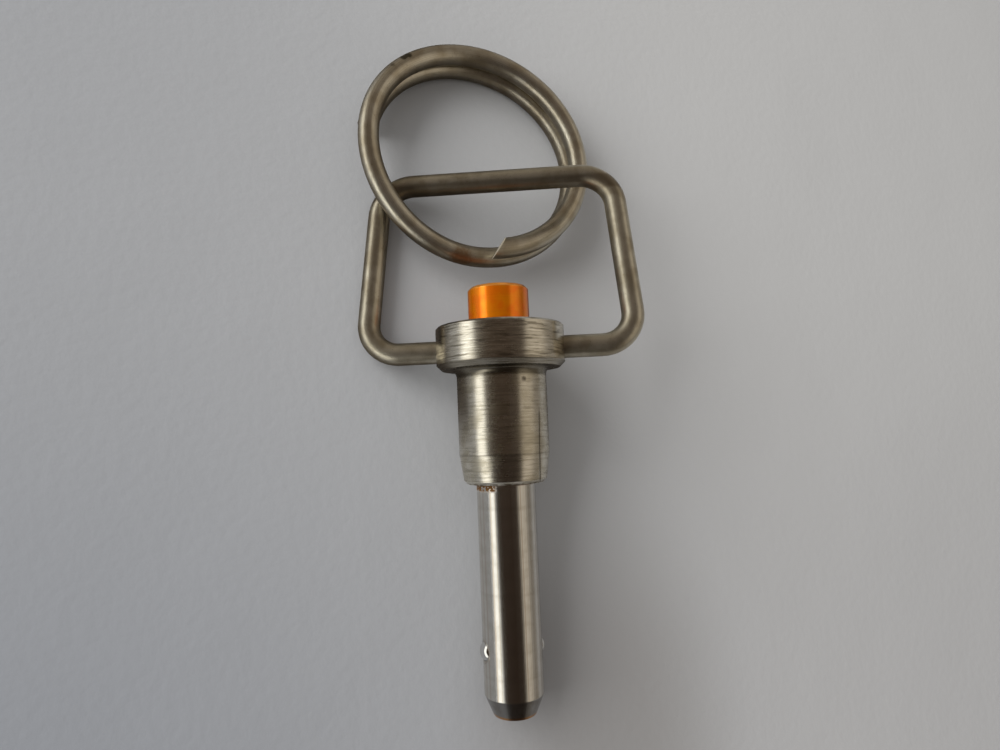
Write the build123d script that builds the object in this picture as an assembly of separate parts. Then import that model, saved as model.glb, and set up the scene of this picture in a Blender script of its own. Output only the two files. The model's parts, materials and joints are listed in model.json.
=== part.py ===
from build123d import *
import os
from math import acos, asin, atan, atan2, cos, degrees, hypot, radians, sin, sqrt, tan

# A ball lock pin, lying as it comes to rest on a table. All lengths are in millimetres and all
# angles in degrees. Every piece is modelled about the pin's own axis: z runs from the tip (z = 0)
# to the push button, and x is the line about which the wire bail swings. The last section lays
# the pin down, with +Y towards its head, +Z up and the origin under the middle of the whole.

# ---- driving dimensions ------------------------------------------------------------------------

# shank: the ground tube that goes through the work
shank_diameter = 6.35
grip_length = 16.43
nose_length = 6.6
tip_chamfer_length = 2.05
tip_end_diameter = 4.6
shank_bore_diameter = 2.7
collar_length = 2.0

# locking balls, staked in two opposite pockets
ball_diameter = 2.38
ball_stand_out = 0.43
ball_turn = 22.0

# handle: one turned piece, a flange on a tapered sleeve
flange_diameter = 14.1
flange_thickness = 4.65
flange_rim_break = 0.2
flange_chamfer = 0.55
flange_fillet = 0.8
sleeve_diameter = 9.8
sleeve_end_diameter = 8.95
sleeve_length = 12.3
sleeve_taper_length = 3.1
sleeve_end_chamfer = 0.35
lip_thickness = 1.2

# push button and what it drives
button_diameter = 6.7
button_height = 4.35
button_edge_break = 0.3
button_travel = 2.0
button_skirt_diameter = 8.2
button_skirt_thickness = 1.3
button_shoulder_depth = 4.95
spindle_hold_length = 6.0
spindle_recess = 0.3
spindle_neck_diameter = 1.2
ball_draw_in = 0.52

# return spring
spring_wire_diameter = 0.6
spring_mean_diameter = 6.6
spring_turns = 5.5

# bail: bent round wire whose ends turn in the flange
bail_wire_diameter = 2.5
bail_base_width = 30.0
bail_top_width = 26.9
bail_height = 20.5
bail_base_bend_radius = 3.5
bail_top_bend_radius = 4.1
bail_hinge_depth = 2.5
bail_hole_depth = 3.0

# split ring: a little over one and a half turns of round wire
ring_wire_diameter = 2.4
ring_mean_diameter = 26.4
ring_turn_gap = 0.1
ring_upper_end_angle = -85.0
ring_step_start_angle = 158.0
ring_step_end_angle = 268.0
ring_lower_end_angle = 166.0
ring_end_cut_angle = 38.0
ring_crossing_angle = 210.6
ring_bend_angle = 22.0
ring_low_side_angle = 86.0

# clearances
running_clearance = 0.05
spindle_clearance = 0.06
ball_clearance = 0.03
press_clearance = 0.01
spring_end_gap = 0.05
ring_seat_gap = 0.15

# ---- places along the pin's axis and fitted radii ----------------------------------------------

shank_radius = shank_diameter / 2
bore_radius = shank_bore_diameter / 2
ball_radius = ball_diameter / 2

# the grip ends where a locked ball first stands out of the shank
ball_station = nose_length
ball_centre_radius = shank_radius + ball_stand_out - ball_radius
ball_mouth_radius = sqrt(ball_radius**2 - (shank_radius - ball_centre_radius) ** 2)
sleeve_end = ball_station + ball_mouth_radius + grip_length
flange_under = sleeve_end + sleeve_length
head_top = flange_under + flange_thickness
hinge_station = head_top - bail_hinge_depth

lip_top = sleeve_end + lip_thickness
collar_top = lip_top + collar_length
skirt_radius = button_skirt_diameter / 2
counterbore_radius = skirt_radius + running_clearance
button_radius = button_diameter / 2
button_bore_radius = button_radius + running_clearance
button_shoulder = head_top - button_shoulder_depth
skirt_under = button_shoulder - button_skirt_thickness
button_top = head_top + button_height

bail_wire_radius = bail_wire_diameter / 2
flange_radius = flange_diameter / 2
bail_end_reach = flange_radius - bail_hole_depth

# the spindle's ramp falls by the same ratio at which the balls draw in
ramp_ratio = ball_draw_in / button_travel
ramp_angle = atan(ramp_ratio)
spindle_radius = bore_radius - spindle_clearance
ramp_radius_at_ball = ball_centre_radius - (ball_radius + ball_clearance) / cos(ramp_angle)
neck_radius = spindle_neck_diameter / 2
ramp_start = ball_station - (spindle_radius - ramp_radius_at_ball) / ramp_ratio
ramp_end = ball_station + (ramp_radius_at_ball - neck_radius) / ramp_ratio
neck_end = ball_station + button_travel + ball_radius + neck_radius / 2
spindle_top = skirt_under + spindle_hold_length


def turned(outline):
    """A solid of revolution about the pin's axis, from (radius, height) corners."""
    section = make_face(Polyline([(radius, 0, height) for radius, height in outline], close=True))
    return revolve(section, Axis.Z, 360)


def rims(solid, radius, height):
    """The circular edges of a turned solid that have this radius at this height."""
    found = [
        edge
        for edge in solid.edges().filter_by(GeomType.CIRCLE)
        if abs(edge.radius - radius) < 1e-4 and abs(edge.arc_center.Z - height) < 1e-4
    ]
    return ShapeList(found)


# ---- handle ------------------------------------------------------------------------------------


def make_handle():
    """The turned head: flange, tapered sleeve, stepped bore and two blind holes for the bail."""
    sleeve_radius = sleeve_diameter / 2
    end_radius = sleeve_end_diameter / 2
    lip_radius = shank_radius + press_clearance
    handle = turned(
        [
            (button_bore_radius, head_top),
            (flange_radius, head_top),
            (flange_radius, flange_under + flange_chamfer),
            (flange_radius - flange_chamfer, flange_under),
            (sleeve_radius, flange_under),
            (sleeve_radius, sleeve_end + sleeve_taper_length),
            (end_radius, sleeve_end + sleeve_end_chamfer),
            (end_radius - sleeve_end_chamfer, sleeve_end),
            (lip_radius, sleeve_end),
            (lip_radius, lip_top),
            (counterbore_radius, lip_top),
            (counterbore_radius, button_shoulder),
            (button_bore_radius, button_shoulder),
        ]
    )
    handle = chamfer(rims(handle, flange_radius, head_top), flange_rim_break)
    handle = chamfer(rims(handle, button_bore_radius, head_top), flange_rim_break)
    handle = fillet(rims(handle, sleeve_radius, flange_under), flange_fillet)
    hole = Cylinder(bail_wire_radius + running_clearance, bail_hole_depth * 2, rotation=(0, 90, 0))
    for side in (-1, 1):
        handle -= Pos(side * flange_radius, 0, hinge_station) * hole
    return handle


# ---- shank, balls and spindle ------------------------------------------------------------------


def at_ball(side, radius):
    """The place at this radius on the line through both balls: side -1 is left, 1 is right."""
    return Rot(Z=ball_turn) * Pos(side * radius, 0, ball_station)


def make_shank():
    """The ground tube, with a collar held in the handle and two staked ball pockets."""
    collar_radius = counterbore_radius - press_clearance
    shank = turned(
        [
            (bore_radius, 0),
            (tip_end_diameter / 2, 0),
            (shank_radius, tip_chamfer_length),
            (shank_radius, lip_top),
            (collar_radius, lip_top),
            (collar_radius, collar_top),
            (bore_radius, collar_top),
        ]
    )
    pocket_radius = ball_radius + ball_clearance
    drilled = Cylinder(pocket_radius, ball_centre_radius, rotation=(0, 90, 0))
    for side in (-1, 1):
        shank -= at_ball(side, ball_centre_radius / 2) * drilled
        shank -= at_ball(side, ball_centre_radius) * Sphere(pocket_radius)
    return shank


def make_ball(side):
    """One hardened ball, locked out against the lip of its pocket."""
    return at_ball(side, ball_centre_radius) * Sphere(ball_radius)


def make_spindle():
    """The rod that holds the balls out with its land and lets them in at its neck."""
    return turned(
        [
            (0, spindle_recess),
            (spindle_radius - spindle_recess, spindle_recess),
            (spindle_radius, 2 * spindle_recess),
            (spindle_radius, ramp_start),
            (neck_radius, ramp_end),
            (neck_radius, neck_end),
            (spindle_radius, neck_end + spindle_radius - neck_radius),
            (spindle_radius, spindle_top),
            (0, spindle_top),
        ]
    )


# ---- push button and return spring -------------------------------------------------------------


def make_push_button():
    """The button: a plain cylinder with a skirt that keeps it in the handle."""
    grip_radius = spindle_radius + press_clearance
    return turned(
        [
            (0, button_top),
            (button_radius - button_edge_break, button_top),
            (button_radius, button_top - button_edge_break),
            (button_radius, button_shoulder),
            (skirt_radius, button_shoulder),
            (skirt_radius, skirt_under),
            (grip_radius, skirt_under),
            (grip_radius, spindle_top),
            (0, spindle_top),
        ]
    )


def make_return_spring():
    """The compression spring between the shank's collar and the button, its ends ground flat."""
    low = collar_top + spring_end_gap
    high = skirt_under - spring_end_gap
    length = high - low
    coil_radius = spring_mean_diameter / 2
    path = Helix(pitch=length / spring_turns, height=length, radius=coil_radius)
    wire = Plane(path @ 0, z_dir=path % 0) * Circle(spring_wire_diameter / 2)
    coil = sweep(wire, path=path)
    room = Cylinder(coil_radius + spring_wire_diameter, length)
    return Pos(0, 0, low) * (coil & Pos(0, 0, length / 2) * room)


# ---- bail --------------------------------------------------------------------------------------


def make_bail():
    """The bent wire, in its own frame: x is the line of its two ends, z points at its top bar."""
    base, top = bail_base_width / 2, bail_top_width / 2
    path = FilletPolyline(
        (-bail_end_reach, 0, 0),
        (-base, 0, 0),
        (-top, 0, bail_height),
        (top, 0, bail_height),
        (base, 0, 0),
        (bail_end_reach, 0, 0),
        radius=[bail_base_bend_radius, bail_top_bend_radius, bail_top_bend_radius, bail_base_bend_radius],
    )
    section = Plane(path @ 0, z_dir=path % 0) * Circle(bail_wire_radius)
    return sweep(section, path=path)


def bail_bend_point(turned_by):
    """A place on the middle line of the bail's left upper bend, and the way the wire runs there.

    The angle is how far the wire has turned since its straight leg ended."""
    base, top = bail_base_width / 2, bail_top_width / 2
    leg_slope = degrees(atan2(base - top, bail_height))
    full_turn = 90 - leg_slope
    set_back = bail_top_bend_radius * tan(radians(full_turn / 2))
    bend_centre = Vector(-top + set_back, 0, bail_height - bail_top_bend_radius)
    heading = radians(90 - leg_slope - turned_by)
    along = Vector(cos(heading), 0, sin(heading))
    outward = Vector(-sin(heading), 0, cos(heading))
    return bend_centre + outward * bail_top_bend_radius, along


# ---- split ring --------------------------------------------------------------------------------

ring_radius = ring_mean_diameter / 2
ring_wire_radius = ring_wire_diameter / 2
ring_turn_rise = ring_wire_diameter + ring_turn_gap


def ring_step_height(angle):
    """Height of the wire's centre where it steps down from the upper turn to the lower one."""
    share = (angle - ring_step_start_angle) / (ring_step_end_angle - ring_step_start_angle)
    return ring_turn_rise * (1 - 3 * share**2 + 2 * share**3)


def ring_point(angle, height):
    """The place at this angle round the ring, in the ring's frame."""
    return Vector(ring_radius * cos(radians(angle)), ring_radius * sin(radians(angle)), height)


def ring_step_way(angle):
    """The way the wire runs at this angle of the step."""
    before, after = angle - 1, angle + 1
    return ring_point(after, ring_step_height(after)) - ring_point(before, ring_step_height(before))


def make_split_ring():
    """The coiled wire in its own frame, its lower turn centred on z = 0."""
    first, last = ring_step_start_angle, ring_step_end_angle
    cut_reach = degrees(ring_wire_radius * tan(radians(ring_end_cut_angle)) / ring_radius)
    start = ring_upper_end_angle - 1.15 * cut_reach
    lower_sweep = ring_lower_end_angle + 360 - last
    upper = Pos(0, 0, ring_turn_rise) * CenterArc((0, 0), ring_radius, start, first - start)
    lower = CenterArc((0, 0), ring_radius, last, lower_sweep)
    step_count = 6
    angles = [first + (last - first) * i / step_count for i in range(step_count + 1)]
    step = Spline(
        [ring_point(angle, ring_step_height(angle)) for angle in angles],
        tangents=[upper % 1, lower % 0],
        tangent_scalars=[1, 1],
    )
    path = Wire([upper.edge(), step.edge(), lower.edge()])
    section = Plane(path @ 0, z_dir=path % 0) * Circle(ring_wire_radius)
    ring = sweep(section, path=path)

    # the visible end was nipped off at a slant
    nip = 0.7 * ring_wire_diameter
    end_place = Pos(ring_point(ring_upper_end_angle, ring_turn_rise)) * Rot(Z=ring_upper_end_angle)
    slant = Rot(Z=-ring_end_cut_angle) * Pos(0, -nip / 2, 0)
    cutter = end_place * slant * Box(2 * ring_wire_diameter, nip, ring_turn_rise)
    return ring - cutter


# ---- how the pin lies --------------------------------------------------------------------------

# the flange's rim and the edge above the tip's chamfer both touch the table
rim_station = flange_under + flange_chamfer
lean = atan2(flange_radius - shank_radius, rim_station - tip_chamfer_length)
axis_height_at_tip = shank_radius * cos(lean) - tip_chamfer_length * sin(lean)
hinge_height = axis_height_at_tip + hinge_station * sin(lean)

# the pin has rolled to its left until the bail's whole left leg lies on the table
leg_inset = (bail_base_width - bail_top_width) / 2
roll = asin((hinge_height - bail_wire_radius) / (bail_base_width / 2 * cos(lean)))
level_side = cos(roll) * cos(lean)
level_fall = -leg_inset / bail_height * sin(roll) * cos(lean)
bail_tilt = asin(level_fall / hypot(level_side, sin(lean))) - atan2(sin(lean), level_side)

pin_place = Pos(0, 0, axis_height_at_tip) * Rot(X=degrees(lean) - 90) * Rot(Z=-degrees(roll))
bail_place = pin_place * Pos(0, 0, hinge_station) * Rot(X=degrees(bail_tilt))

# the ring lies on the bail's left upper bend and, on its far side, on the table
bend_point, bend_way = bail_bend_point(ring_bend_angle)
crossing = (bail_place * Pos(bend_point)).position
wire_way = (bail_place * Pos(bend_point + bend_way)).position - crossing
ring_way = ring_step_way(ring_crossing_angle)
upright_share = abs(wire_way.cross(ring_way).normalized().Z)
crossing_rise = (bail_wire_radius + ring_wire_radius + ring_seat_gap) / upright_share
ring_rise = crossing.Z + crossing_rise - ring_wire_radius - ring_step_height(ring_crossing_angle)
ring_fall = ring_radius * (1 - cos(radians(ring_crossing_angle - ring_low_side_angle)))
ring_tilt = asin(ring_rise / ring_fall)
ring_centre = Vector(
    crossing.X - ring_radius * cos(radians(ring_crossing_angle)),
    crossing.Y - ring_radius * sin(radians(ring_crossing_angle)),
    ring_wire_radius + ring_radius * sin(ring_tilt),
)
low_side = Rot(Z=ring_low_side_angle)
ring_place = Pos(ring_centre) * low_side * Rot(Y=degrees(ring_tilt)) * Rot(Z=-ring_low_side_angle)

pieces = {
    "handle": pin_place * make_handle(),
    "shank": pin_place * make_shank(),
    "spindle": pin_place * make_spindle(),
    "push_button": pin_place * make_push_button(),
    "return_spring": pin_place * make_return_spring(),
    "locking_ball_left": pin_place * make_ball(-1),
    "locking_ball_right": pin_place * make_ball(1),
    "bail": bail_place * make_bail(),
    "split_ring": ring_place * make_split_ring(),
}

# the origin is on the table under the middle of the whole pin
extent = Compound(list(pieces.values())).bounding_box()
to_origin = Pos(-extent.center().X, -extent.center().Y, -extent.min.Z)

os.makedirs("parts", exist_ok=True)
for name, piece in pieces.items():
    export_step(to_origin * piece, f"parts/{name}.step")
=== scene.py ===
import json
import math

import bpy
from mathutils import Euler, Matrix, Vector


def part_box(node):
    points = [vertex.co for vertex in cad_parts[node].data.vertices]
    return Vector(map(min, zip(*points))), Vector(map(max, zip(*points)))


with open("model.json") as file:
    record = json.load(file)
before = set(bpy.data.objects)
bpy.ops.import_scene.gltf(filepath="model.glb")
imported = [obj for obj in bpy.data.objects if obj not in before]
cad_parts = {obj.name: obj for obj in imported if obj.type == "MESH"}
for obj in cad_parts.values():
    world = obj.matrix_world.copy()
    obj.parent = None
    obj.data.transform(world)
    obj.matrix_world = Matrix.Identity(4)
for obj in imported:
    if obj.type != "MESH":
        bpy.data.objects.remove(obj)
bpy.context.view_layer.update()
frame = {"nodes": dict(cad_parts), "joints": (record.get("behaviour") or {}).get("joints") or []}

# ---- camera ------------------------------------------------------------------------------------
# A compact camera, hand held close over the table. It looks down on the pin from above its middle
# and a little from the left. Colours are shown as they are written.
bpy.context.scene.view_settings.view_transform = "Standard"
camera_data = bpy.data.cameras.new("camera")
camera_data.sensor_width = 36.0
camera_data.lens = 23.645
camera_data.clip_start = 0.001
camera = bpy.data.objects.new("camera", camera_data)
bpy.context.scene.collection.objects.link(camera)
camera.location = (-0.024688, -0.016806, 0.073394)
camera.rotation_euler = Euler([math.radians(turn) for turn in (12.178, -19.183, -4.753)])
bpy.context.scene.camera = camera

# ---- table and light ---------------------------------------------------------------------------
# A sheet of pale paper under the pin, a soft window light from the left and a warm wall to the
# right. Overhead it is dim, which polished steel shows as a dark band. Light is painted into the
# paper's colour: cooler to the left, darker towards the front, and painted shade to the right of
# the shank.


class Signal:
    """A value in a shader: expressions on signals add the Math nodes that work them out."""

    def __init__(self, shader, socket):
        self.shader = shader
        self.socket = socket

    def math(self, operation, *others):
        """A Math node on this value, and on the others that the operation takes."""
        return self.shader.node("ShaderNodeMath", {"operation": operation}, [self, *others])

    def __add__(self, other):
        return self.math("ADD", other)

    __radd__ = __add__

    def __sub__(self, other):
        return self.math("SUBTRACT", other)

    def __rsub__(self, other):
        return -self + other

    def __mul__(self, other):
        return self.math("MULTIPLY", other)

    __rmul__ = __mul__

    def __pow__(self, other):
        return self.math("POWER", other)

    def __neg__(self):
        return self.math("MULTIPLY", -1.0)

    def size(self):
        """The value without its sign."""
        return self.math("ABSOLUTE")

    def above(self, low, high):
        """0 below low, 1 above high, with a soft step between."""
        settings = {"interpolation_type": "SMOOTHSTEP"}
        inputs = {"Value": self, "From Min": low, "From Max": high}
        return self.shader.node("ShaderNodeMapRange", settings, inputs)

    def below(self, low, high):
        """1 below low, 0 above high, with a soft step between."""
        return 1.0 - self.above(low, high)

    def between(self, low, high, soft):
        """1 from low to high, falling off softly outside."""
        return self.above(low - soft, low) * self.below(high, high + soft)


class Shader:
    """Builds the nodes of one material or world."""

    def __init__(self, tree):
        self.tree = tree
        self.tree.nodes.clear()

    def node(self, kind, settings=None, inputs=None, output=0):
        """Adds a node, gives it its settings and then its inputs, and returns one output."""
        made = self.tree.nodes.new(kind)
        for name, value in (settings or {}).items():
            setattr(made, name, value)
        if isinstance(inputs, list):
            inputs = dict(enumerate(inputs))
        for name, value in (inputs or {}).items():
            if isinstance(value, Signal):
                self.tree.links.new(value.socket, made.inputs[name])
            else:
                made.inputs[name].default_value = value
        return Signal(self, made.outputs[output]) if made.outputs else None

    def mix(self, share, first, second):
        """A colour between two colours."""
        # a Mix node names its colour sockets as it does those for numbers, so they go by number
        inputs = {0: share, 6: first, 7: second}
        return self.node("ShaderNodeMix", {"data_type": "RGBA"}, inputs, output=2)

    def coats(self, tone, *coats):
        """A tone with other colours laid over it in turn, each as far as its share says."""
        for share, colour in coats:
            tone = self.mix(share, tone, colour)
        return tone

    def split(self, vector):
        """The three parts of a vector."""
        parts = self.node("ShaderNodeSeparateXYZ", {}, [vector]).socket.node.outputs
        return [Signal(self, part) for part in parts]

    def ray(self, kind):
        """1 for light rays of this kind, 0 for the rest."""
        return self.node("ShaderNodeLightPath", output=kind)

    def noise(self, place, scale, detail=3.0):
        """Cloudy variation around 0.5 from place to place."""
        inputs = {"Vector": place, "Scale": scale, "Detail": detail}
        return self.node("ShaderNodeTexNoise", {}, inputs)

    def lines(self, value, scale, detail=3.0):
        """Variation around 0.5 along one value, the same everywhere else."""
        inputs = {"W": value, "Scale": scale, "Detail": detail}
        return self.node("ShaderNodeTexNoise", {"noise_dimensions": "1D"}, inputs)

    def bump(self, height, microns, under=None):
        """A relief of this depth, which may lie on another relief under it."""
        inputs = {"Strength": 1.0, "Distance": microns * 1e-6, "Height": height}
        if under:
            inputs["Normal"] = under
        return self.node("ShaderNodeBump", {}, inputs)


def rgb(red, green, blue):
    return (red, green, blue, 1.0)


world = bpy.data.worlds.new("studio")
bpy.context.scene.world = world
world.use_nodes = True
sky = Shader(world.node_tree)
to_right, to_far, height = sky.split(sky.node("ShaderNodeTexCoord", output="Generated"))

near_ceiling = rgb(0.028, 0.018, 0.012)
dim_ceiling = rgb(0.085, 0.062, 0.046)
far_wall = rgb(0.20, 0.165, 0.125)
near_wall = rgb(0.035, 0.025, 0.018)
right_wall = rgb(0.56, 0.50, 0.42)
right_low = rgb(0.24, 0.215, 0.185)
window = rgb(1.62, 1.61, 1.53)

walls = sky.mix(to_far.above(-0.25, 0.75), near_wall, far_wall)
ceiling = sky.mix(to_far.above(-0.5, 0.4), near_ceiling, dim_ceiling)
cream = sky.mix(height.above(0.30, 0.62), right_low, right_wall)
at_ceiling = height.above(0.50, 0.85)
at_right = to_right.above(0.36, 0.50)
at_window = (-to_right).above(0.45, 0.70) * height.between(0.04, 0.34, 0.12)
room = sky.coats(walls, (at_ceiling, ceiling), (at_right, cream), (at_window, window))

# the soft light that falls on the pin from all round, cooler and stronger on the window's side
lee_fill = rgb(0.31, 0.285, 0.26)
window_fill = rgb(0.68, 0.69, 0.71)
backdrop = rgb(0.42, 0.42, 0.42)
window_far, window_left = 0.6, 0.8
window_side = (to_far * window_far - to_right * window_left).above(-0.9, 0.9)
fill_light = sky.mix(window_side, lee_fill, window_fill)
in_metal = sky.ray("Is Glossy Ray")
in_view = sky.ray("Is Camera Ray")
shown = sky.coats(fill_light, (in_metal, room), (in_view, backdrop))
lit = sky.node("ShaderNodeBackground", {}, {"Color": shown, "Strength": 1.0})
sky.node("ShaderNodeOutputWorld", {}, {"Surface": lit})

key_data = bpy.data.lights.new("window_light", "AREA")
key_data.shape = "RECTANGLE"
key_data.size = 1.0
key_data.size_y = 0.72
key_data.energy = 12.2
key_data.color = (0.98, 0.99, 1.0)
key = bpy.data.objects.new("window_light", key_data)
bpy.context.scene.collection.objects.link(key)
key.location = (-0.78, 0.30, 0.42)
key.rotation_euler = (Vector((0, 0, 0)) - key.location).to_track_quat("-Z", "Y").to_euler()
key.visible_glossy = False

bpy.ops.object.select_all(action="DESELECT")
bpy.ops.mesh.primitive_plane_add(size=3.0, location=(0, 0, 0))
paper = bpy.context.object
paper.name = "paper"
paper_material = bpy.data.materials.new("paper")
paper_material.use_nodes = True
sheet = Shader(paper_material.node_tree)
paper_place = sheet.node("ShaderNodeTexCoord", output="Object")
across_paper, up_paper, _ = sheet.split(paper_place)

# painted light: the paper runs from cool and dark on the left to warm and light on the right, and
# is darker towards the front
left_near = rgb(0.262, 0.272, 0.293)
left_far = rgb(0.338, 0.342, 0.350)
right_near = rgb(0.430, 0.424, 0.418)
right_far = rgb(0.478, 0.473, 0.462)
painted_lee_shade = rgb(0.205, 0.188, 0.172)
bail_painted_shade = rgb(0.045, 0.032, 0.022)

far_share = up_paper.above(-0.05, 0.02)
left_tone = sheet.mix(far_share, left_near, left_far)
right_tone = sheet.mix(far_share, right_near, right_far)
paper_tone = sheet.mix(across_paper.above(-0.055, 0.045), left_tone, right_tone)

# the oval of painted shade to the right of the shank: its middle in metres, and how often its
# half width and its half length go into a metre
lee_middle_across, lee_middle_up = 0.012, -0.045
lee_widths, lee_lengths = 45.0, 28.0
lee_across = (across_paper - lee_middle_across) * lee_widths
lee_up = (up_paper - lee_middle_up) * lee_lengths
in_painted_lee = ((lee_across * lee_across + lee_up * lee_up) ** 0.5).below(0.15, 1.0)

# painted shade, seen only in metal: close under the bail the paper turns nearly black where the
# metal mirrors it; to the eye it keeps its tone
bail_middle_across = -0.004
beside_bail = (across_paper - bail_middle_across).size().above(0.012, 0.026)
under_bail = up_paper.above(-0.013, -0.005) * (0.9 - beside_bail * 0.75)
mirrored = sheet.ray("Is Glossy Ray") * under_bail
paper_tone = sheet.coats(paper_tone, (in_painted_lee * 0.55, painted_lee_shade), (mirrored, bail_painted_shade))

fibres = sheet.noise(paper_place, 900.0, 6.0)
waves = sheet.noise(paper_place, 22.0)
paper_relief = sheet.bump(waves, 500, sheet.bump(fibres, 40))
paper_surface = sheet.node(
    "ShaderNodeBsdfPrincipled",
    {},
    {"Base Color": paper_tone, "Roughness": 0.9, "Normal": paper_relief},
)
sheet.node("ShaderNodeOutputMaterial", {}, {"Surface": paper_surface})
paper.data.materials.append(paper_material)

# ---- handle ------------------------------------------------------------------------------------
# The head: a flange and a tapered sleeve turned from one stainless bar, with the lathe's rings
# round it. Handling has dulled and scratched it, deepest in one small pit and one long scratch,
# and brown grime sits where the shank comes out. Painted shade darkens the cove under the
# flange, the flange's lower rim and a line where the taper starts.
millimetres = 1000.0
nodes = frame["nodes"]
joints = {joint["name"]: joint for joint in frame["joints"]}
hinge_place = Vector(joints["bail_swing"]["pos_m"])
hinge_way = Vector(joints["bail_swing"]["axis"]).normalized()
head_way = -Vector(joints["button_press"]["axis"]).normalized()

# places along the pin, in millimetres from the line about which the bail swings
flange_under = -2.15
taper_start = -11.35
sleeve_end = -14.45

clean_steel = rgb(0.66, 0.62, 0.53)
dulled_steel = rgb(0.52, 0.475, 0.375)
ring_shade = rgb(0.34, 0.30, 0.22)
dark_scratch = rgb(0.20, 0.175, 0.13)
bright_scratch = rgb(0.86, 0.82, 0.72)
brown_grime = rgb(0.10, 0.065, 0.035)
cove_shade = rgb(0.085, 0.070, 0.045)
rim_shade = rgb(0.22, 0.19, 0.14)
taper_shade = rgb(0.12, 0.10, 0.07)
deep_mark = rgb(0.06, 0.045, 0.03)


def frame_of(centre, first, third):
    """How a Mapping node turns and centres places, in millimetres, into a piece's own frame."""
    turn = Matrix((first, third.cross(first), third))
    return {
        "Location": tuple(-(turn @ centre) * millimetres),
        "Rotation": tuple(turn.to_euler()),
        "Scale": (millimetres,) * 3,
    }


class Finish(Shader):
    """The shader of one finish, with its places in millimetres in a piece's own frame."""

    def __init__(self, name, own_frame):
        self.material = bpy.data.materials.new(name)
        self.material.use_nodes = True
        super().__init__(self.material.node_tree)
        in_metres = self.node("ShaderNodeTexCoord", output="Object")
        self.place = self.node("ShaderNodeMapping", {}, {"Vector": in_metres, **own_frame})
        self.x, self.y, self.z = self.split(self.place)
        self.radius = (self.x * self.x + self.y * self.y) ** 0.5
        self.around = self.y.math("ARCTAN2", self.x)

    def spot(self, centre, reach, soft):
        """1 within reach of a place, falling off softly, with a ragged edge."""
        settings = {"operation": "SUBTRACT"}
        offset = self.node("ShaderNodeVectorMath", settings, [self.place, centre])
        settings = {"operation": "LENGTH"}
        away = self.node("ShaderNodeVectorMath", settings, [offset], output="Value")
        ragged = away + (self.noise(self.place, 3.0, 4.0) - 0.5) * reach
        return ragged.below(reach - soft, reach + soft)

    def finish(self, colour, roughness, normal, names, metallic=1.0, **constants):
        """Ends the shader and puts it on the named nodes."""
        varying = {"Base Color": colour, "Roughness": roughness, "Normal": normal}
        inputs = {**varying, "Metallic": metallic, **constants}
        surface = self.node("ShaderNodeBsdfPrincipled", {}, inputs)
        self.node("ShaderNodeOutputMaterial", {}, {"Surface": surface})
        for name in names:
            for slot in nodes[name].material_slots:
                slot.material = self.material


pin_frame = frame_of(hinge_place, hinge_way, head_way)
turned = Finish("turned_stainless", pin_frame)

# the tool's rings go round the pin, and round the flange's faces too
feed = turned.z + turned.radius
fine_rings = turned.lines(feed, 8.0)
broad_rings = turned.lines(feed, 2.6, 2.0)
ring_shadows = broad_rings.above(0.52, 0.70) * 0.40

# scratches run round it with the rings, and show most on the flange
scratch_along = 0.45
scratch_across = 5.0
scratch_places = [turned.x * scratch_along, turned.y * scratch_along, feed * scratch_across]
scratches = turned.noise(turned.node("ShaderNodeCombineXYZ", {}, scratch_places), 1.0)
on_flange = turned.z.above(flange_under - 0.5, flange_under)
dark_scratches = scratches.above(0.53, 0.64) * (0.35 + on_flange * 0.40)
bright_scratches = scratches.below(0.36, 0.44) * (0.25 + on_flange * 0.45)
dull = turned.noise(turned.place, 0.55, 4.0).above(0.38, 0.66) * (1.0 - on_flange * 0.6)

# brown grime at the sleeve's end, and painted shade in the cove under the flange, on the
# flange's lower rim and in a line where the taper starts
cove_radius = 5.3
sleeve_foot = turned.z.between(sleeve_end - 0.2, sleeve_end + 0.12, 0.10)
grime = sleeve_foot * turned.noise(turned.place, 1.6).above(0.42, 0.60)
cove = turned.z.between(flange_under - 0.75, flange_under + 0.15, 0.35)
cove = cove * turned.radius.below(cove_radius, cove_radius + 0.7)
lower_rim = turned.z.between(flange_under - 0.1, flange_under + 0.55, 0.20)
taper_line = turned.z.between(taper_start - 0.05, taper_start + 0.07, 0.06)

# the pit is a little below the flange, and the long scratch runs down the sleeve's upper right
# side, leaning slightly
pit = turned.spot((2.45, -4.0, flange_under - 1.45), reach=0.32, soft=0.10)
scratch_right = 3.75
scratch_lean = 0.03
scratch_half = 0.04
from_scratch = turned.x - scratch_right - (turned.z - sleeve_end) * scratch_lean
long_scratch = (
    from_scratch.between(-scratch_half, scratch_half, 0.06)
    * turned.z.between(sleeve_end + 0.5, sleeve_end + 7.0, 1.0)
    * turned.y.below(-1.0, 0.0)
)
marks = pit + long_scratch * 0.85

turned_tone = turned.coats(
    turned.mix(dull, clean_steel, dulled_steel),
    (ring_shadows, ring_shade),
    (dark_scratches, dark_scratch),
    (bright_scratches, bright_scratch),
    (grime * 0.7, brown_grime),
    (cove * 0.75, cove_shade),
    (lower_rim * 0.62, rim_shade),
    (taper_line * 0.40, taper_shade),
    (marks * 0.8, deep_mark),
)
turned_roughness = 0.15 + dull * 0.07 + fine_rings * 0.10 + scratches * 0.06 + grime * 0.25
turned_relief = turned.bump(fine_rings, 4.5, turned.bump(broad_rings, 8))
turned_relief = turned.bump(scratches, 11, turned_relief)
turned_relief = turned.bump(marks, -10, turned_relief)
turned.finish(turned_tone, turned_roughness, turned_relief, ["handle"])

# ---- shank -------------------------------------------------------------------------------------
# The tube that goes through the work: hardened stainless, ground bright but for its nose, which
# is still dark from heat treatment. A punch has staked a rim over each ball. Brown residue clings
# in crumbs under the sleeve, and a brown ring runs round the end of the tip.
ball_station = -31.796
chamfer_start = -36.346
tip_end = -38.396
ball_turn = math.radians(22.0)

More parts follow.
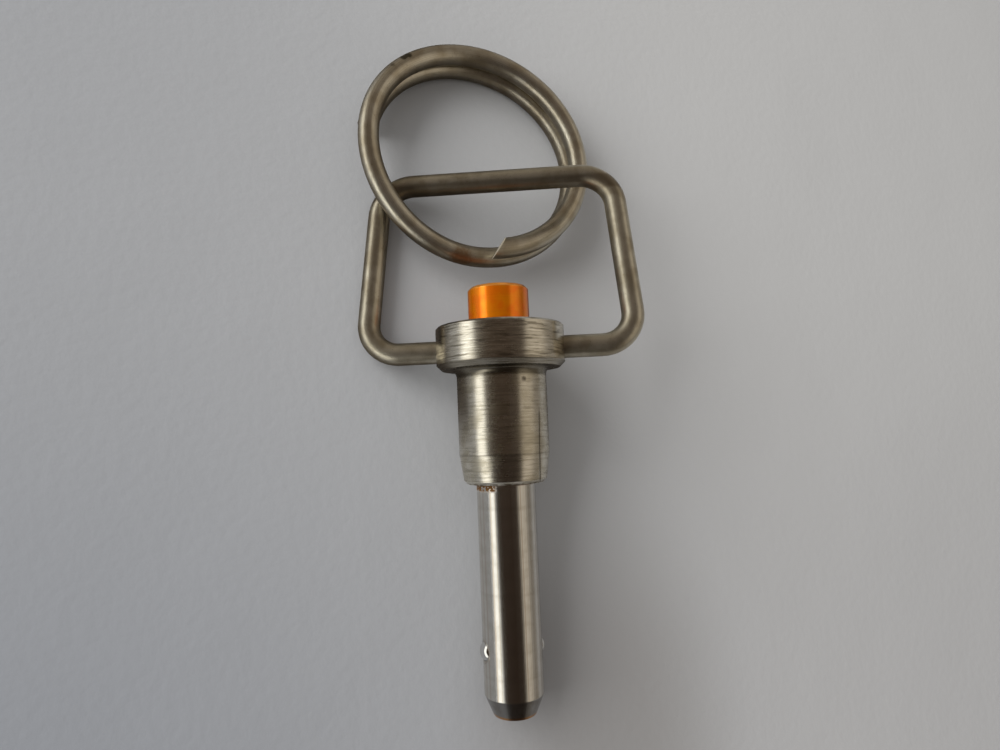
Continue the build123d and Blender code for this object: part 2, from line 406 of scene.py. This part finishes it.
ground_steel = rgb(0.64, 0.62, 0.575)
smeared_steel = rgb(0.54, 0.515, 0.46)
drawn_shade = rgb(0.42, 0.37, 0.30)
streak_brown = rgb(0.42, 0.33, 0.24)
pass_shade = rgb(0.42, 0.38, 0.32)
dark_nose = rgb(0.26, 0.25, 0.235)
nose_smear = rgb(0.17, 0.145, 0.125)
tip_face = rgb(0.34, 0.31, 0.27)
tip_brown = rgb(0.50, 0.25, 0.085)
residue_brown = rgb(0.125, 0.058, 0.016)
staked_shade = rgb(0.33, 0.27, 0.20)
pocket_painted_shade = rgb(0.06, 0.045, 0.035)

ground = Finish("ground_stainless", pin_frame)
grinding = ground.lines(ground.z, 16.0)
passes = ground.lines(ground.z, 1.1, 2.0)
drawn = ground.lines(ground.around, 26.0)
smears = ground.noise(ground.place, 0.8, 4.0)
brown_streaks = ground.lines(ground.around, 9.0).above(0.52, 0.66) * 0.45

# each ball's pocket and its staked rim are told by how far they are from the line through the
# two balls, in millimetres
pocket_edge = 0.90
rim_inside, rim_outside = 0.96, 1.16
aside_of_balls = ground.x * math.sin(ball_turn) - ground.y * math.cos(ball_turn)
from_ball_line = (aside_of_balls ** 2.0 + (ground.z - ball_station) ** 2.0) ** 0.5
staked = from_ball_line.between(rim_inside, rim_outside, 0.07)
# painted shade darkens the pocket round each ball
in_pocket = from_ball_line.below(pocket_edge - 0.04, pocket_edge + 0.04)

# the ground part ends in a slightly wandering edge at the nose, and the end face is flat
edge_wander = (ground.noise(ground.place, 1.4, 2.0) - 0.5) * 0.12
nose = (ground.z + edge_wander).below(chamfer_start - 0.10, chamfer_start + 0.04)
tip_ring = ground.z.below(tip_end + 0.14, tip_end + 0.36) * ground.radius.above(2.0, 2.25)
end_face = ground.z.below(tip_end + 0.01, tip_end + 0.03)

# the crumbs cling on the left of the shank's upper side, and a thin line goes all the way round
crumbs_left, crumbs_right = -3.1, -1.1
crumbs = (
    ground.z.between(sleeve_end - 0.60, sleeve_end + 0.3, 0.30)
    * ground.x.between(crumbs_left, crumbs_right, 0.4)
    * ground.y.below(-0.5, 0.3)
    * ground.noise(ground.place, 3.6, 4.0).above(0.42, 0.48)
)
sleeve_line = ground.z.between(sleeve_end - 0.12, sleeve_end + 0.3, 0.10)
residue = crumbs.math("MAXIMUM", sleeve_line * 0.8)

ground_tone = ground.coats(
    ground.mix(smears.above(0.40, 0.68) * 0.7, ground_steel, smeared_steel),
    (drawn.above(0.50, 0.72) * 0.40, drawn_shade),
    (brown_streaks, streak_brown),
    (passes.above(0.56, 0.80) * 0.25, pass_shade),
    (nose, dark_nose),
    (nose * smears.above(0.45, 0.65) * 0.5, nose_smear),
    (end_face * 0.5, tip_face),
    (tip_ring * 0.85, tip_brown),
    (residue, residue_brown),
    (staked * 0.45, staked_shade),
    (in_pocket * 0.9, pocket_painted_shade),
)
ground_roughness = 0.13 + grinding * 0.05 + smears * 0.07 + nose * 0.04 + residue * 0.35
ground_relief = ground.bump(grinding, 1.2, ground.bump(drawn, 4))
ground_relief = ground.bump(staked, 40, ground_relief)
matt_crumbs = {"metallic": 1.0 - crumbs * 0.85, "Specular IOR Level": 0.1}
ground.finish(ground_tone, ground_roughness, ground_relief, ["shank"], **matt_crumbs)

# ---- locking balls -----------------------------------------------------------------------------
# Two bearing balls of hardened stainless, lapped to a mirror. Only a few fine scuffs mark them,
# from the holes that they have locked in.
lapped_steel = rgb(0.68, 0.67, 0.64)
scuffed_steel = rgb(0.52, 0.49, 0.44)

lapped = Finish("lapped_stainless", pin_frame)
scuffs = lapped.noise(lapped.place, 6.0, 4.0)
lapped_tone = lapped.mix(scuffs.above(0.52, 0.70) * 0.5, lapped_steel, scuffed_steel)
lapped_roughness = 0.06 + scuffs.above(0.5, 0.7) * 0.10
lapped_relief = lapped.bump(scuffs, 3)
balls = ["locking_ball_left", "locking_ball_right"]
lapped.finish(lapped_tone, lapped_roughness, lapped_relief, balls)

# ---- spindle and return spring -----------------------------------------------------------------
# The spindle is turned stainless, seen only as a disc in the nose. The spring is coiled from hard
# drawn wire and sits out of sight in the head. Both are dark in places with old oil.
wiped_steel = rgb(0.55, 0.53, 0.49)
oiled_steel = rgb(0.34, 0.29, 0.22)

inner = Finish("inner_stainless", pin_frame)
inner_rings = inner.lines(inner.radius + inner.z, 9.0)
oil = inner.noise(inner.place, 0.9)
inner_tone = inner.mix(oil.above(0.40, 0.65), wiped_steel, oiled_steel)
inner_roughness = 0.26 + inner_rings * 0.14
inner_relief = inner.bump(inner_rings, 4)
inner.finish(inner_tone, inner_roughness, inner_relief, ["spindle", "return_spring"])

# ---- push button -------------------------------------------------------------------------------
# Turned aluminium, blasted to a satin and dyed orange when it was anodised. The dye is thin on
# the broken edge and has darkened unevenly where thumbs press, and grime has settled round the
# button's foot. Its flat top is painted darker, as painted shade that the bail's bar mirrors.
head_top = 2.5
button_stands = 4.35
button_top = head_top + button_stands

fresh_orange = rgb(1.0, 0.270, 0.001)
handled_orange = rgb(1.0, 0.205, 0.001)
ring_orange = rgb(0.62, 0.130, 0.004)
thin_orange = rgb(0.98, 0.52, 0.12)
top_painted_shade = rgb(0.26, 0.062, 0.002)
grimed_orange = rgb(0.20, 0.06, 0.008)

dyed = Finish("orange_anodised_aluminium", pin_frame)
button_rings = dyed.lines(dyed.z + dyed.radius, 6.0)
satin = dyed.noise(dyed.place, 9.0)
handled = dyed.noise(dyed.place, 0.7)
broken_edge = dyed.z.between(button_top - 0.34, button_top - 0.02, 0.05)
# painted shade: the flat top is darkened so that metal nearby mirrors it dark
darkened_top_face = dyed.z.above(button_top - 0.03, button_top - 0.01)
button_foot = dyed.z.below(head_top + 0.05, head_top + 0.55)
dyed_tone = dyed.coats(
    dyed.mix(handled.above(0.38, 0.66), fresh_orange, handled_orange),
    (button_rings.above(0.50, 0.72) * 0.16, ring_orange),
    (broken_edge * 0.45, thin_orange),
    (darkened_top_face * 0.55, top_painted_shade),
    (button_foot * 0.5, grimed_orange),
)
dyed_roughness = 0.21 + satin * 0.03 + handled * 0.05
dyed_relief = dyed.bump(satin, 0.5, dyed.bump(button_rings, 3))
dye_coat = {"metallic": 0.72, "Coat Weight": 0.30, "Coat Roughness": 0.11}
dyed.finish(dyed_tone, dyed_roughness, dyed_relief, ["push_button"], **dye_coat)

# ---- bail --------------------------------------------------------------------------------------
# Round stainless wire, drawn and bent cold, with its ends sprung into the flange. Drawing has
# left it satin, with fine lines along it. It has taken on a brownish tarnish, and painted shade
# darkens the inner side of the bar that carries the ring.
bar_place = Vector(joints["ring_swing"]["pos_m"])
bail_up = (bar_place - hinge_place).normalized()
bar_height = (bar_place - hinge_place).length * millimetres

bail_clean = rgb(0.56, 0.515, 0.41)
bail_tarnished = rgb(0.39, 0.34, 0.25)
draw_line_brown = rgb(0.30, 0.25, 0.17)
grain_brown = rgb(0.16, 0.12, 0.075)
inner_painted_shade = rgb(0.15, 0.115, 0.075)

bail_wire = Finish("drawn_bail_wire", frame_of(hinge_place, hinge_way, bail_up))
bail_lines = bail_wire.lines(bail_wire.y, 13.0)
wandering = bail_wire.y + bail_wire.noise(bail_wire.place, 0.3, 2.0)
bail_fine_lines = bail_wire.lines(wandering, 34.0, 2.0)
bail_tarnish = bail_wire.noise(bail_wire.place, 0.45, 4.0)
bail_grain = bail_wire.noise(bail_wire.place, 5.0, 4.0)
# painted shade on the inner side of the bar, just below its middle line
inner_side_shade = (bail_wire.z - bar_height).between(-2.0, -0.70, 0.50)
bail_tone = bail_wire.coats(
    bail_wire.mix(bail_tarnish.above(0.36, 0.66), bail_clean, bail_tarnished),
    (bail_lines.above(0.50, 0.74) * 0.35, draw_line_brown),
    (bail_grain.above(0.60, 0.74) * 0.45, grain_brown),
    (inner_side_shade * 0.65, inner_painted_shade),
)
bail_roughness = 0.28 + bail_tarnish * 0.10 + bail_fine_lines * 0.06
bail_relief = bail_wire.bump(bail_lines, 6, bail_wire.bump(bail_fine_lines, 2))
bail_relief = bail_wire.bump(bail_grain, 10, bail_relief)
bail_wire.finish(bail_tone, bail_roughness, bail_relief, ["bail"], metallic=0.95)

# ---- split ring --------------------------------------------------------------------------------
# A little over one and a half turns of the same kind of wire, coiled tight. Its upper end was
# nipped off at a slant, which has left a bright face of fresh metal, painted pale and less
# metallic as a highlight that shows whatever the light. One rust spot and a few black pits have
# bitten into it.
ring_low, ring_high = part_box("split_ring")
ring_centre = (Vector(ring_low) + Vector(ring_high)) / 2
ring_axis = Vector((0.0050, 0.0711, 0.9975)).normalized()
ring_first = (Vector((1, 0, 0)) - ring_axis * ring_axis.x).normalized()

ring_clean = rgb(0.62, 0.575, 0.47)
ring_tarnished = rgb(0.46, 0.40, 0.295)
rust_brown = rgb(0.24, 0.11, 0.035)
pit_black = rgb(0.04, 0.035, 0.02)
fresh_cut_highlight = rgb(0.80, 0.73, 0.57)

ring_wire = Finish("drawn_ring_wire", frame_of(ring_centre, ring_first, ring_axis))
ring_lines = ring_wire.lines(ring_wire.radius + ring_wire.z * 0.35, 12.0)
ring_fine_lines = ring_wire.lines(ring_wire.radius * 0.8 - ring_wire.z, 30.0, 2.0)
ring_tarnish = ring_wire.noise(ring_wire.place, 0.40, 4.0)
ring_grain = ring_wire.noise(ring_wire.place, 5.0, 4.0)

rust = ring_wire.spot((-3.0, -13.9, -0.5), reach=1.25, soft=0.6)
pits = ring_wire.spot((-8.15, 11.0, 2.3), reach=0.46, soft=0.16)
pits = pits.math("MAXIMUM", ring_wire.spot((-8.65, 10.6, 2.3), reach=0.42, soft=0.16))
pits = pits + ring_wire.spot((-10.1, 9.3, 2.3), reach=0.26, soft=0.14) * 0.6

# the nipped face stands square to this way, this far from the ring's middle, on the upper turn
nip_way_x, nip_way_y = 0.839, -0.545
nip_far = 8.127
from_nip = ring_wire.x * nip_way_x + ring_wire.y * nip_way_y - nip_far
# fresh cut metal with a painted highlight: pale and less metallic, so it shows bright in any
# light
nipped_face_glint = (
    from_nip.between(-0.03, 0.05, 0.05)
    * ring_wire.z.above(0.0, 0.3)
    * ring_wire.x.between(-0.5, 3.0, 0.2)
)

ring_tone = ring_wire.coats(
    ring_wire.mix(ring_tarnish.above(0.36, 0.66), ring_clean, ring_tarnished),
    (ring_lines.above(0.50, 0.74) * 0.40, draw_line_brown),
    (ring_grain.above(0.60, 0.74) * 0.45, grain_brown),
    (rust * 0.75, rust_brown),
    (pits * 0.85, pit_black),
    (nipped_face_glint * 0.85, fresh_cut_highlight),
)
ring_roughness = 0.26 + ring_tarnish * 0.10 + ring_fine_lines * 0.07 + rust * 0.1
ring_relief = ring_wire.bump(ring_lines, 7, ring_wire.bump(ring_fine_lines, 2))
ring_relief = ring_wire.bump(ring_grain - pits, 14, ring_relief)
ring_metal = 0.96 - nipped_face_glint * 0.35
ring_wire.finish(ring_tone, ring_roughness, ring_relief, ["split_ring"], metallic=ring_metal)
